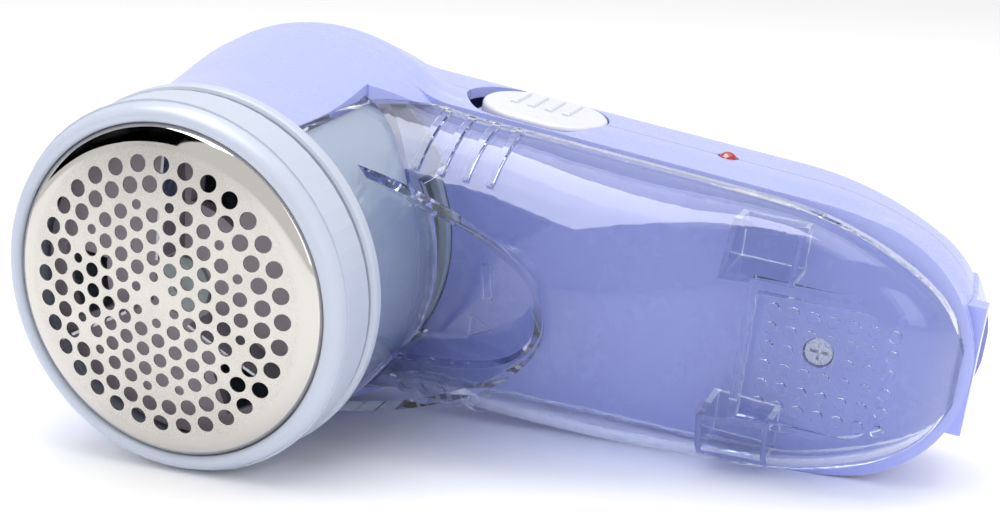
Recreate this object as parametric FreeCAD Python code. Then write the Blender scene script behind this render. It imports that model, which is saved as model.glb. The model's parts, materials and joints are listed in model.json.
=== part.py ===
import FreeCAD, Part
import math
import os

# Rechargeable fabric shaver: round cutting head, tapered handle, clear slide-off lint bin.
#
# Everything is drawn in the shaver's own directions, in millimetres:
#   x  from the head towards the end of the handle
#   y  along the head axis, from the foil (0) to the back of the body
#   z  towards the side that carries the switch
# seat() then turns the whole shaver into the pose it takes when it lies on its side.
# The origin is the tip of the foil, on the head axis.

Vec = FreeCAD.Vector
AXIS_X = Vec(1, 0, 0)
AXIS_Y = Vec(0, 1, 0)
AXIS_Z = Vec(0, 0, 1)

# ---- pose at rest, lying on ring, head and handle ----
HANDLE_DROP = 6.8          # degrees about y
HEAD_ROLL = 4.5            # degrees about x

# ---- body ----
WALL = 2.0
BODY_BACK = 82.0
SEAM_Y = 65.5              # the two lilac shells meet here
DECK_Y = 54.0              # the clear bin sits on this plane
DECK_THICK = 2.0
HEAD_FRONT_Y = 17.4        # lilac head tube starts behind the collar
HEAD_WALL = 1.8
SPLIT_X = 15.0             # in front of this plane the head's neck belongs to the bin
SIDE_X = 35.0              # where the handle's half width is stated
SIDE_HALF = 28.7
SIDE_TAPER = 2.7           # degrees
NECK_FILLET = 16.0
SIDE_ARC = 62.0
# level along y, head radius, change of the half width, tip radius, end of the handle
BODY_LEVELS = (
    (54.0, 37.1, -0.3, 24.4, 129.0),
    (59.5, 37.5, 0.0, 24.2, 129.1),
    (65.5, 36.0, 0.1, 23.4, 129.0),
    (72.0, 33.7, 0.0, 21.8, 128.6),
    (77.0, 31.6, -0.8, 20.0, 127.8),
    (80.0, 29.4, -2.8, 17.8, 125.8),
    (81.5, 27.4, -5.2, 15.2, 123.2),
    (82.0, 25.5, -7.6, 12.8, 120.8),
)
BIN_OUTLINE = (37.1, -0.3, 20.0, 128.5)
# head tube profile: level along y, radius
HEAD_PROFILE = (
    (17.4, 33.3),
    (24.0, 33.2),
    (30.0, 33.3),
    (36.0, 33.9),
    (42.0, 34.9),
    (48.0, 36.0),
    (54.0, 37.1),
)
# lilac shoulders that clasp the foot of the clear neck
SHOULDER_Z = 28.1
SHOULDER_START = (15.5, 44.5)
SHOULDER_END = (26.5, 54.0)

# ---- foil and ring ----
FOIL_THICK = 0.25
FOIL_PITCH = 3.67
FOIL_TILT = 36.66          # degrees, direction of a row of holes
FOIL_SKIRT_R = 29.8
FOIL_FLANGE_R = 31.0
FOIL_FLANGE_Y = 7.75
RING_R = 33.2
RING_SIDES = 60
RING_BACK_Y = 13.7
RING_FACET_Y = 6.2
RING_BORE_R = 31.6
THREAD_LEAD = 14.4
LUG_TURN = 24.0
LUG_Y = 11.6
LUG_HEIGHT = 1.2
LUG_GAP = 0.12
RIDGE_TURN = 60.0

# ---- collar and chamber ----
COLLAR_R = 33.8
COLLAR_FRONT_Y = 14.9
NOSE_R = 30.4
NOSE_BORE_R = 28.6
CHAMBER_R = 31.1
CHAMBER_BORE_R = 29.6
CHAMBER_BACK_Y = 55.5
CHAMBER_FLOOR = 1.8
WINDOW_Y = (43.4, 52.0)
WINDOW_HALF = 16.0

# ---- lint bin ----
BIN_WALL = 1.8
BIN_INSET = 0.8
BIN_TOP_Y = 53.95
NECK_R = 33.2
NECK_BORE_R = 31.4
SCOOP_FLOOR_Y = 41.0
SCOOP_X0 = 14.0            # the scoop is half an ellipse about this place
SCOOP_BASE = (38.5, 12.8)  # half length and half width at the floor
SCOOP_FLARE = (0.43, 0.56) # growth of both for each millimetre towards the front
RIDGE_LINE = (21.7, 0.1214)        # level of the scoop's lip at x = 0, rise along x
# station along x, front of the bin there, squareness of the arch there
BIN_CREST = (
    (12.0, 32.6, 2.1),
    (21.0, 32.6, 2.1),
    (30.0, 32.2, 2.1),
    (45.0, 31.0, 2.1),
    (58.0, 29.9, 2.15),
    (68.0, 31.0, 2.25),
    (78.0, 34.0, 2.4),
    (88.0, 38.0, 2.6),
    (98.0, 40.6, 2.9),
    (108.0, 41.4, 3.0),
    (116.0, 42.4, 3.0),
    (122.0, 45.6, 2.9),
    (125.6, 50.0, 2.8),
    (127.0, 52.4, 2.6),
)
BIN_SHRINK_X = 95.0
BIN_END_WALL = 1.2         # wall at the bin's end, as a share of the wall elsewhere
RIB_PLACES = (28.7, 33.5, 38.3, 43.1)
RIB_WIDTH = 1.3
RIB_INNER_Z = 20.5
RIB_PROUD = 0.7
THUMB_X0 = 92.5
THUMB_X1 = 119.5
THUMB_HALF = 11.6
THUMB_Y = 42.6
DOT_PITCH = 3.5
DOT_R = 1.05
SOCKET_X = (85.5, 98.0)
SOCKET_Z = (12.6, 21.5)

# ---- drive ----
RUN = 0.05                 # radial running clearance
SHAFT_R = 1.0
SHAFT_Y = (9.9, 77.4)
BUSH_R = 2.98
MOTOR_R = 12.0
CAN_THICK = 0.8
PLATE_R = 30.8
PLATE_Y = (55.52, 57.0)
CAN_Y = (57.02, 74.0)
CAP_Y = (74.02, 75.2)
MAGNET_Y = (59.2, 71.2)
CORE_Y = (60.5, 69.5)
CORE_R = 8.9
COMMUTATOR_R = 2.5
HUB_HEX_R = 4.6
HUB_Y = (10.0, 52.0)
HUB_FLANGE_Y = 20.0
HUB_CAP_R = 5.2
FAN_Y = (41.0, 51.6)
FAN_R = 25.5
CARRIER_Y = (9.0, 11.2)
CARRIER_SEAT_Y = 9.85      # the hub cap holds the wheel here
CARRIER_SKIRT_Y = 13.4
CARRIER_BOSS_Y = 17.0
CARRIER_R = 27.3
WINDOW_R = (15.5, 24.0)
WINDOW_SPAN = 33.0         # degrees
WINDOW_TURN = 21.5         # degrees from a blade to the middle of its window
BLADE_THICK = 0.5
BLADE_GAP = 0.12
BLADE_R = (7.0, 27.0)
BLADE_FOOT_Y = 11.0
CUTTERS = 3
BLADE_TURN = 27.0          # resting place of the first blade about the head axis
SPRING_R = 5.9
SPRING_WIRE = 0.22
SPRING_TURNS = 2

# ---- fasteners ----
DECK_SCREW = (102.6, -1.5)
CHAMBER_SCREW_R = 26.6     # the two chamber screws stand on this radius
CHAMBER_SCREW_TURN = 120.0
SCREW_HEAD_R = 2.5
SCREW_HEAD_HEIGHT = 1.3
SCREW_R = 1.25
SCREW_GRIP = 8.0
FRONT_BOSS_R = 3.4
BACK_BOSS_R = 2.6
BOSS_SPLIT_Y = 59.55       # front and back boss of the deck screw meet here
MOTOR_SCREW_X = 8.0

# ---- charging ----
LED_X = 78.3
LED_R = 1.9
INLET_HALF_Z = 12.2
INLET_Y = (57.5, 76.5)
BEZEL_X = (119.0, 129.0)
BEZEL_LIP_Y = 61.5         # the frame is widest between its front edge and this level
BEZEL_PROUD = 0.6
HOLE_Y = (61.5, 72.5)
HOLE_Z = (-8.2, 8.7)
BOARD_X = (62.5, 98.0)
BOARD_Y = (58.5, 60.1)
BOARD_HALF = 18.8
CELL_R = 7.0
CELL_X = (63.0, 112.2)
CELL_NUB = 1.3
CELL_Y = 71.0
CELL_Z = 11.2

# ---- switch ----
SWITCH_X = 40.8
SLOT_LENGTH = 27.8
SLOT_WIDTH = 18.8
SLOT_INNER_Z = 25.0
SWITCH_BODY_Z = (13.4, 22.6)
BUTTON_LENGTH = 24.2
BUTTON_WIDTH = 18.2
BUTTON_RIB_PITCH = 3.5
SWITCH_TRAVEL = 3.2


# ------------------------------------------------------------------ helpers

def seat(shape):
    """Turn a shape from the shaver's own directions into its lying pose."""
    drop = FreeCAD.Placement(Vec(0, 0, 0), FreeCAD.Rotation(AXIS_Y, HANDLE_DROP))
    roll = FreeCAD.Placement(Vec(0, 0, 0), FreeCAD.Rotation(AXIS_X, HEAD_ROLL))
    moved = shape.copy()
    moved.Placement = roll.multiply(drop).multiply(moved.Placement)
    return moved


def export(name, shapes):
    """Write one node from one solid or a group of separate solids."""
    solids = []
    for shape in shapes if isinstance(shapes, (list, tuple)) else [shapes]:
        solids += shape.Solids
    whole = solids[0] if len(solids) == 1 else Part.makeCompound(solids)
    seat(whole).exportStep("parts/%s.step" % name)
    box = whole.BoundBox
    print("%-20s solids %2d volume %9.1f valid %s  x %.1f..%.1f y %.1f..%.1f z %.1f..%.1f" % (
        name, len(solids), sum(s.Volume for s in solids), whole.isValid(),
        box.XMin, box.XMax, box.YMin, box.YMax, box.ZMin, box.ZMax))


def cyl(radius, y0, y1, x=0.0, z=0.0):
    return Part.makeCylinder(radius, y1 - y0, Vec(x, y0, z), AXIS_Y)


def tube(outer, inner, y0, y1, x=0.0, z=0.0):
    return cyl(outer, y0, y1, x, z).cut(cyl(inner, y0 - 1, y1 + 1, x, z))


def rod_x(radius, x0, x1, y, z):
    return Part.makeCylinder(radius, x1 - x0, Vec(x0, y, z), AXIS_X)


def rod_z(radius, z0, z1, x, y):
    return Part.makeCylinder(radius, z1 - z0, Vec(x, y, z0), AXIS_Z)


def box(x0, x1, y0, y1, z0, z1):
    return Part.makeBox(x1 - x0, y1 - y0, z1 - z0, Vec(x0, y0, z0))


def fuse(shapes):
    whole = shapes[0]
    if len(shapes) > 1:
        whole = whole.multiFuse(shapes[1:])
    return whole.removeSplitter()


def turned(points):
    """Solid of revolution about the head axis from (radius, y) corners."""
    corners = [Vec(r, y, 0) for r, y in points]
    face = Part.Face(Part.makePolygon(corners + corners[:1]))
    return face.revolve(Vec(0, 0, 0), AXIS_Y, 360)


def spun(shape, angle):
    """Copy turned about the head axis."""
    copy = shape.copy()
    copy.rotate(Vec(0, 0, 0), AXIS_Y, angle)
    return copy


def around(shape, count, start=0.0):
    return [spun(shape, start + 360.0 * i / count) for i in range(count)]


def slot_z(length, width, z0, z1, x, y):
    """Oblong prism along z: straight sides along x, round ends."""
    half = (length - width) / 2
    r = width / 2
    middle = box(x - half, x + half, y - r, y + r, z0, z1)
    return fuse([middle, rod_z(r, z0, z1, x - half, y), rod_z(r, z0, z1, x + half, y)])


# ------------------------------------------------------------------ body outline

def outline_geometry(level, inset):
    """Tangent arcs of half of the body's outline, seen along y."""
    head_r, widen, tip_r, end_x = level
    a = math.radians(SIDE_TAPER)
    normal = (math.sin(a), math.cos(a))
    along = (math.cos(a), -math.sin(a))
    head = head_r - inset
    fillet = NECK_FILLET + inset
    side_arc = SIDE_ARC - inset
    tip = tip_r - inset
    tip_x = end_x - tip_r
    offset = normal[0] * SIDE_X + normal[1] * (SIDE_HALF + widen) - inset
    d = math.sqrt((head + fillet) ** 2 - (offset + fillet) ** 2)
    fc = (normal[0] * (offset + fillet) + along[0] * d, normal[1] * (offset + fillet) + along[1] * d)
    head_end = (fc[0] * head / (head + fillet), fc[1] * head / (head + fillet))
    side_start = (fc[0] - normal[0] * fillet, fc[1] - normal[1] * fillet)
    # the long side arc's centre lies under the side line and inside the tip circle's reach
    base = (normal[0] * (offset - side_arc), normal[1] * (offset - side_arc))
    rel = (base[0] - tip_x, base[1])
    b = rel[0] * along[0] + rel[1] * along[1]
    c = rel[0] ** 2 + rel[1] ** 2 - (side_arc - tip) ** 2
    e = -b - math.sqrt(b * b - c)
    sc = (base[0] + along[0] * e, base[1] + along[1] * e)
    side_end = (sc[0] + normal[0] * side_arc, sc[1] + normal[1] * side_arc)
    reach = math.hypot(tip_x - sc[0], -sc[1])
    tip_start = (sc[0] + (tip_x - sc[0]) * side_arc / reach, sc[1] - sc[1] * side_arc / reach)
    return {"head": head, "fillet_c": fc, "fillet": fillet, "head_end": head_end,
            "side_start": side_start, "side_end": side_end, "side_c": sc, "side_arc": side_arc,
            "tip_start": tip_start, "tip_x": tip_x, "tip": tip}


def mid_arc(centre, radius, p, q):
    """Point halfway along the short arc from p to q."""
    mx = (p[0] + q[0]) / 2 - centre[0]
    mz = (p[1] + q[1]) / 2 - centre[1]
    k = radius / math.hypot(mx, mz)
    return (centre[0] + mx * k, centre[1] + mz * k)


def outline_wire(y, level, inset):
    """Closed outline of head and handle at one level."""
    g = outline_geometry(level, inset)

    def at(p, side=1):
        return Vec(p[0], y, side * p[1])

    fillet_mid = mid_arc(g["fillet_c"], g["fillet"], g["head_end"], g["side_start"])
    side_mid = mid_arc(g["side_c"], g["side_arc"], g["side_end"], g["tip_start"])
    tip = Vec(g["tip_x"] + g["tip"], y, 0)
    edges = [Part.Arc(at(g["head_end"], -1), Vec(-g["head"], y, 0), at(g["head_end"])).toShape(),
             Part.Arc(at(g["head_end"]), at(fillet_mid), at(g["side_start"])).toShape(),
             Part.makeLine(at(g["side_start"]), at(g["side_end"])),
             Part.Arc(at(g["side_end"]), at(side_mid), at(g["tip_start"])).toShape(),
             Part.Arc(at(g["tip_start"]), tip, at(g["tip_start"], -1)).toShape(),
             Part.Arc(at(g["tip_start"], -1), at(side_mid, -1), at(g["side_end"], -1)).toShape(),
             Part.makeLine(at(g["side_end"], -1), at(g["side_start"], -1)),
             Part.Arc(at(g["side_start"], -1), at(fillet_mid, -1), at(g["head_end"], -1)).toShape()]
    return Part.Wire(edges)


def body_form(inset, back):
    """Smooth form of the lilac body behind the deck plane."""
    wires = []
    for level in BODY_LEVELS:
        y = DECK_Y + (level[0] - DECK_Y) * (back - DECK_Y) / (BODY_BACK - DECK_Y)
        wires.append(outline_wire(y, level[1:], inset))
    return Part.makeLoft(wires, True, False)


def head_form(inset):
    """Turned form of the lilac head between collar and deck plane."""
    points = [Vec(r - inset, y, 0) for y, r in HEAD_PROFILE]
    curve = Part.BSplineCurve()
    curve.interpolate(points)
    first = points[0]
    last = points[-1]
    edges = [curve.toShape(),
             Part.makeLine(last, Vec(0, last.y, 0)),
             Part.makeLine(Vec(0, last.y, 0), Vec(0, first.y, 0)),
             Part.makeLine(Vec(0, first.y, 0), first)]
    face = Part.Face(Part.Wire(edges))
    return face.revolve(Vec(0, 0, 0), AXIS_Y, 360)


def half_width(x, inset):
    """Half width of the bin's outline on the deck plane."""
    g = outline_geometry(BIN_OUTLINE, inset)
    if x < g["side_start"][0]:
        dx = x - g["fillet_c"][0]
        if x < g["head_end"][0]:
            return math.sqrt(g["head"] ** 2 - x ** 2)
        return g["fillet_c"][1] - math.sqrt(g["fillet"] ** 2 - dx ** 2)
    if x < g["side_end"][0]:
        share = (x - g["side_start"][0]) / (g["side_end"][0] - g["side_start"][0])
        return g["side_start"][1] + share * (g["side_end"][1] - g["side_start"][1])
    if x < g["tip_start"][0]:
        return g["side_c"][1] + math.sqrt(g["side_arc"] ** 2 - (x - g["side_c"][0]) ** 2)
    return math.sqrt(max(g["tip"] ** 2 - (x - g["tip_x"]) ** 2, 0.0))


# ------------------------------------------------------------------ housings

def switch_cut():
    return slot_z(SLOT_LENGTH, SLOT_WIDTH, SLOT_INNER_Z, 40.0, SWITCH_X, SEAM_Y)


def led_cut():
    return rod_z(LED_R + RUN, 20.0, 40.0, LED_X, SEAM_Y)


def inlet_cut():
    return box(BEZEL_X[0] - 2.5, BEZEL_X[1] + 6, INLET_Y[0], INLET_Y[1], -INLET_HALF_Z, INLET_HALF_Z)


def shoulder_zone(grow):
    """Space of the two lilac shoulders: wedges outside the foot of the clear neck."""
    x0, y0 = SHOULDER_START
    x1, y1 = SHOULDER_END
    back = DECK_Y + 0.2
    corners = [Vec(0, y0 - grow, 0), Vec(x0, y0 - grow, 0), Vec(x1 + grow, y1, 0), Vec(x1 + grow, back, 0),
               Vec(0, back, 0)]
    wedge = Part.Face(Part.makePolygon(corners + corners[:1]))
    inner = SHOULDER_Z - grow
    upper = wedge.extrude(Vec(0, 0, 20))
    upper.translate(Vec(0, 0, inner))
    lower = wedge.extrude(Vec(0, 0, -20))
    lower.translate(Vec(0, 0, -inner))
    return upper, lower


def front_housing():
    """Lilac front shell: head tube, deck and the front half of the handle wall."""
    outer = body_form(0.0, BODY_BACK)
    inner = body_form(WALL, BODY_BACK - WALL)
    half = outer.cut(inner).common(box(-60, 140, DECK_Y, SEAM_Y, -60, 60))
    deck = inner.common(box(SPLIT_X, 140, DECK_Y, DECK_Y + DECK_THICK, -60, 60))
    form = head_form(0.0)
    head = form.cut(head_form(HEAD_WALL)).common(box(-60, SPLIT_X, 0, DECK_Y, -60, 60))
    # the head tube's foot closes down onto the wall of the handle half
    bore = cyl(CHAMBER_R + 0.3, 40, 60)
    foot = cyl(BODY_LEVELS[0][1] - 0.6, DECK_Y - 2.0, DECK_Y + 0.2).cut(bore)
    foot = foot.common(box(-60, SPLIT_X, 50, 60, -60, 60))
    pieces = [half, deck, head, foot]
    for wedge in shoulder_zone(0.0):
        pieces.append(wedge.common(form).cut(bore).common(box(SPLIT_X - 2.0, 40, 40, 60, -60, 60)))
    shell = fuse(pieces)
    x, z = DECK_SCREW
    shell = shell.fuse(cyl(FRONT_BOSS_R, DECK_Y + 0.5, BOSS_SPLIT_Y - 0.05, x, z))
    shell = shell.cut(cyl(SCREW_HEAD_R + 0.3, DECK_Y - 1, DECK_Y + 2.4, x, z))
    shell = shell.cut(cyl(SCREW_R + 0.15, DECK_Y - 1, SEAM_Y, x, z))
    for cutter in (switch_cut(), led_cut(), inlet_cut()):
        shell = shell.cut(cutter)
    # the chamber's foot drops through the deck
    shell = shell.cut(cyl(CHAMBER_R + 0.3, DECK_Y - 1, DECK_Y + DECK_THICK + 1))
    return shell.removeSplitter()


def back_housing():
    """Lilac back shell: the palm side of head and handle."""
    outer = body_form(0.0, BODY_BACK)
    inner = body_form(WALL, BODY_BACK - WALL)
    shell = outer.cut(inner).common(box(-60, 140, SEAM_Y + 0.02, 90, -60, 60))
    bosses = [(*DECK_SCREW, BOSS_SPLIT_Y)]
    bosses += [(x, z, PLATE_Y[1] + 0.05) for x, z in chamber_screw_places()]
    middle = body_form(WALL / 2, BODY_BACK - WALL / 2)
    for x, z, y in bosses:
        shell = shell.fuse(cyl(BACK_BOSS_R, y, BODY_BACK, x, z).common(middle))
        shell = shell.cut(cyl(SCREW_R + 0.02, y - 1.0, y + SCREW_GRIP + 3.0, x, z))
    for cutter in (switch_cut(), led_cut(), inlet_cut()):
        shell = shell.cut(cutter)
    return shell


def cross_screw(head_r, shank_r, y0, y1, y2, x, z):
    """Pan screw along the head axis: cross-slotted head y0..y1, shank to y2."""
    head = cyl(head_r, y0, y1, x, z)
    arm = 0.64 * head_r
    slot_a = box(x - arm, x + arm, y0 - 1, y0 + 0.8, z - 0.3, z + 0.3)
    slot_b = box(x - 0.3, x + 0.3, y0 - 1, y0 + 0.8, z - arm, z + arm)
    return head.fuse(cyl(shank_r, y1, y2, x, z)).cut(slot_a).cut(slot_b)


def chamber_screw_places():
    """Places of the two screws through the chamber's floor."""
    turn = math.radians(CHAMBER_SCREW_TURN)
    x = CHAMBER_SCREW_R * math.cos(turn)
    z = CHAMBER_SCREW_R * math.sin(turn)
    return (x, z), (x, -z)


def housing_screws():
    """Self-tapping screws: one sunk into the deck, two through the chamber's floor."""
    x, z = DECK_SCREW
    tip_y = BOSS_SPLIT_Y + SCREW_GRIP
    screws = [cross_screw(SCREW_HEAD_R, SCREW_R, DECK_Y + 0.7, DECK_Y + 2.38, tip_y, x, z)]
    seat_y = CHAMBER_BACK_Y - CHAMBER_FLOOR - 0.02
    for x, z in chamber_screw_places():
        screws.append(cross_screw(SCREW_HEAD_R, SCREW_R, seat_y - SCREW_HEAD_HEIGHT, seat_y,
                                  PLATE_Y[1] + SCREW_GRIP, x, z))
    return screws


# ------------------------------------------------------------------ bin

def arch_wire(x, front, power, inset):
    """Section of the bin across the handle: a soft arch on the deck plane."""
    w = half_width(x, BIN_INSET + inset)
    h = DECK_Y - front - inset
    count = 8
    points = []
    for i in range(-count, count + 1):
        t = math.pi / 2 * i / count
        z = w * math.copysign(abs(math.sin(t)) ** (2 / power), t)
        y = DECK_Y - h * max(math.cos(t), 0.0) ** (2 / power)
        points.append(Vec(x, y, z))
    curve = Part.BSplineCurve()
    curve.interpolate(points)
    # straight feet run on behind the deck plane, where the bin is cut off
    foot_y = DECK_Y + 1.0 + inset
    feet = [points[-1], Vec(x, foot_y, points[-1].z), Vec(x, foot_y, points[0].z), points[0]]
    return Part.Wire([curve.toShape()] + [Part.makeLine(p, q) for p, q in zip(feet, feet[1:])])


def arch_form(inset):
    """Swelling front of the bin over the whole handle."""
    wires = []
    for x, front, power in BIN_CREST:
        # an inner form is also shorter at both ends
        share = max((x - BIN_SHRINK_X) / (BIN_CREST[-1][0] - BIN_SHRINK_X), 0.0)
        start = inset if x == BIN_CREST[0][0] else 0.0
        wires.append(arch_wire(x - start - BIN_END_WALL * inset * share, front, power, inset))
    return Part.makeLoft(wires, True, False)


def funnel_wire(y, grow):
    """U of the finger scoop at one level: half an ellipse that opens to the head."""
    rise = SCOOP_FLOOR_Y - y
    a = SCOOP_BASE[0] + SCOOP_FLARE[0] * rise + grow
    b = SCOOP_BASE[1] + SCOOP_FLARE[1] * rise + grow
    centre, side = Vec(SCOOP_X0, y, 0), Vec(SCOOP_X0, y, b)
    ellipse = Part.Ellipse(Vec(SCOOP_X0 + a, y, 0), side, centre)
    half = Part.Arc(ellipse, -math.pi / 2, math.pi / 2)
    return Part.Wire([half.toShape(), Part.makeLine(side, Vec(SCOOP_X0, y, -b))])


def funnel(grow):
    """Finger scoop: a smooth funnel that widens towards the front."""
    floor_y = SCOOP_FLOOR_Y + grow
    form = Part.makeLoft([funnel_wire(floor_y, grow), funnel_wire(0.0, grow)], True, True)
    return form.cut(cyl(NECK_R, -1, floor_y + 1))


def behind_lip():
    """Half space behind the slanted plane that carries the scoop's lip."""
    y0, rise = RIDGE_LINE
    corners = [Vec(SPLIT_X, y0 + rise * SPLIT_X, -60), Vec(90, y0 + rise * 90, -60), Vec(90, 90, -60),
               Vec(SPLIT_X, 90, -60)]
    return Part.Face(Part.makePolygon(corners + corners[:1])).extrude(Vec(0, 0, 120))


def thumb_cut(grow):
    """Shallow thumb rest near the end of the bin."""
    half = THUMB_HALF + grow
    return box(THUMB_X0 - grow, THUMB_X1 + grow, 20.0, THUMB_Y + grow, -half, half)


def thumb_dots():
    """Raised dots of the thumb rest, six rows of seven."""
    dots = []
    for row in range(6):
        for col in range(7):
            x = THUMB_X0 + 3.0 + DOT_PITCH * col
            z = DOT_PITCH * (row - 2.5)
            dots.append(cyl(DOT_R, THUMB_Y - 0.5, THUMB_Y + 0.6, x, z))
    return dots


def bin_ribs():
    """Four grip ribs on each side, wrapped over the arch."""
    outer = arch_form(-RIB_PROUD)
    bands = []
    for x in RIB_PLACES:
        for z0, z1 in ((RIB_INNER_Z, 30.0), (-30.0, -RIB_INNER_Z)):
            bands.append(box(x - RIB_WIDTH / 2, x + RIB_WIDTH / 2, 34.0, DECK_Y - 2.5, z0, z1))
    return [outer.common(band) for band in bands]


def socket_frame(side):
    """Open frame under the bin's roof that grips the deck's tongue."""
    z0, z1 = sorted((side * SOCKET_Z[0], side * SOCKET_Z[1]))
    frame = box(SOCKET_X[0], SOCKET_X[1], 30, DECK_Y - 1.0, z0, z1)
    return frame.cut(box(SOCKET_X[0] + 1, SOCKET_X[1] - 1, 29, DECK_Y, z0 + 1, z1 - 1))


def lint_bin():
    """Clear bin: arch over the handle, finger scoop, and the front of the neck."""
    keep = box(SPLIT_X + 0.2, 140, HEAD_FRONT_Y + 0.2, BIN_TOP_Y, -60, 60)
    neck = cyl(NECK_R, HEAD_FRONT_Y, DECK_Y + 0.5)
    lip = funnel(BIN_WALL).common(behind_lip())
    hollow = arch_form(BIN_WALL).cut(funnel(BIN_WALL + 0.07)).cut(cyl(NECK_R - 0.2, 10, DECK_Y + 4))
    hollow = hollow.cut(thumb_cut(BIN_WALL))
    shell = arch_form(0.0).fuse([neck, lip] + bin_ribs()).cut(hollow).cut(funnel(0.0))
    shell = shell.cut(cyl(NECK_BORE_R, -1, DECK_Y + 3))
    # mouth through which the lint passes from the chamber into the bin
    shell = shell.cut(box(SPLIT_X, 40, WINDOW_Y[0], DECK_Y + 3, -WINDOW_HALF, WINDOW_HALF))
    shell = shell.cut(thumb_cut(0.0)).common(keep)
    for wedge in shoulder_zone(0.12):
        shell = shell.cut(wedge)
    roof = arch_form(BIN_WALL / 2)
    for side in (-1, 1):
        shell = shell.fuse(socket_frame(side).common(roof))
    return shell.fuse(thumb_dots())


# ------------------------------------------------------------------ head

def foil_y(r):
    """Front of the foil at one radius."""
    return 1.9 * (r / 23.0) ** 1.85


def foil_holes():
    """Hole centres and radii: hexagonal field, then two staggered rings."""
    a = FOIL_PITCH
    holes = [(0.0, 0.0, 0.235 * a)]
    tilt = math.radians(FOIL_TILT)
    for k in range(6):
        turn = tilt + math.radians(60.0 * k)
        holes.append((1.124 * a * math.cos(turn), 1.124 * a * math.sin(turn), 0.24 * a))
        for side in (-1, 1):
            outer = turn + side * math.radians(11.1)
            holes.append((4.493 * a * math.cos(outer), 4.493 * a * math.sin(outer), 0.24 * a))
    for i in range(-5, 6):
        for j in range(-5, 6):
            x = a * (i + j / 2)
            z = a * j * math.sqrt(3) / 2
            r = math.hypot(x, z) / a
            if 1.5 < r < 4.4:
                hole_x = x * math.cos(tilt) - z * math.sin(tilt)
                hole_z = x * math.sin(tilt) + z * math.cos(tilt)
                holes.append((hole_x, hole_z, 0.35 * a))
    for radius, phase, size in ((5.403, 8.5, 0.3965), (6.338, 2.88, 0.408)):
        for k in range(32):
            turn = math.radians(phase + 11.25 * k)
            holes.append((radius * a * math.cos(turn), radius * a * math.sin(turn), size * a))
    return holes


def foil_profile(shift):
    """Points of the foil's front surface, moved inwards by shift."""
    radii = (0.0, 6.0, 12.0, 18.0, 23.0, 26.0)
    points = [Vec(r, foil_y(r) + shift, 0) for r in radii]
    points.append(Vec(28.3 - 0.4 * shift, 3.0 + 0.9 * shift, 0))
    points.append(Vec(29.4 - 0.9 * shift, 3.9 + 0.6 * shift, 0))
    points.append(Vec(FOIL_SKIRT_R - shift, 5.2, 0))
    return points


def foil():
    """Domed steel foil with its holes, skirt and flange."""
    front = Part.BSplineCurve()
    front.interpolate(foil_profile(0.0))
    back = Part.BSplineCurve()
    back.interpolate(foil_profile(FOIL_THICK))
    t = FOIL_THICK
    corners = [foil_profile(0.0)[-1], Vec(FOIL_SKIRT_R, FOIL_FLANGE_Y, 0),
               Vec(FOIL_FLANGE_R, FOIL_FLANGE_Y, 0), Vec(FOIL_FLANGE_R, FOIL_FLANGE_Y + t, 0),
               Vec(FOIL_SKIRT_R - t, FOIL_FLANGE_Y + t, 0),
               foil_profile(t)[-1]]
    rim = [Part.makeLine(p, q) for p, q in zip(corners, corners[1:])]
    tip = Part.makeLine(Vec(0, t, 0), Vec(0, 0, 0))
    face = Part.Face(Part.Wire([front.toShape()] + rim + [back.toShape(), tip]))
    dome = face.revolve(Vec(0, 0, 0), AXIS_Y, 360)
    drills = [cyl(r, -1, 4.6, x, z) for x, z, r in foil_holes()]
    return dome.cut(Part.makeCompound(drills))


def polygon_prism(radius, sides, y0, y1):
    corners = []
    for k in range(sides + 1):
        turn = 2 * math.pi * k / sides
        corners.append(Vec(radius * math.cos(turn), y0, radius * math.sin(turn)))
    return Part.Face(Part.makePolygon(corners)).extrude(Vec(0, y1 - y0, 0))


def helix_bar(radius_in, radius_out, height, y_start, turn, start):
    """Bar of square section that winds about the head axis."""
    rise = THREAD_LEAD * turn / 360.0
    path = Part.makeHelix(THREAD_LEAD, rise, radius_in)
    h = height / 2
    corners = [Vec(radius_in, 0, -h), Vec(radius_out, 0, -h), Vec(radius_out, 0, h), Vec(radius_in, 0, h)]
    section = Part.makePolygon(corners + corners[:1])
    bar = Part.Wire(path.Edges).makePipeShell([section], True, True)
    # the helix climbs along z: lay it along the head axis, climbing towards the back
    bar.rotate(Vec(0, 0, 0), AXIS_X, -90)
    bar.translate(Vec(0, y_start, 0))
    return spun(bar, start)


def foil_ring():
    """Screw ring with faceted side, rounded front and three lugs inside."""
    round_front = [Vec(29.92, 4.85, 0), Vec(29.82, 3.95, 0), Vec(30.5, 3.2, 0), Vec(31.6, 3.45, 0),
                   Vec(32.4, 4.35, 0), Vec(32.75, 5.3, 0), Vec(32.95, RING_FACET_Y, 0)]
    curve = Part.BSplineCurve()
    curve.interpolate(round_front)
    corners = [round_front[-1], Vec(RING_R + 0.6, RING_FACET_Y, 0), Vec(RING_R + 0.6, RING_BACK_Y, 0),
               Vec(RING_BORE_R, RING_BACK_Y, 0), Vec(RING_BORE_R, FOIL_FLANGE_Y - 0.05, 0),
               Vec(FOIL_SKIRT_R + 0.15, FOIL_FLANGE_Y - 0.05, 0), Vec(FOIL_SKIRT_R + 0.15, 4.9, 0),
               round_front[0]]
    lines = [Part.makeLine(p, q) for p, q in zip(corners, corners[1:])]
    face = Part.Face(Part.Wire([curve.toShape()] + lines))
    ring = face.revolve(Vec(0, 0, 0), AXIS_Y, 360)
    ring = ring.common(polygon_prism(RING_R + 0.1, RING_SIDES, 0, 20))
    lugs = [helix_bar(NOSE_R + 0.3, RING_BORE_R + 0.4, LUG_HEIGHT, LUG_Y, LUG_TURN, 120.0 * k)
            for k in range(3)]
    return ring.fuse(lugs)


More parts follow.
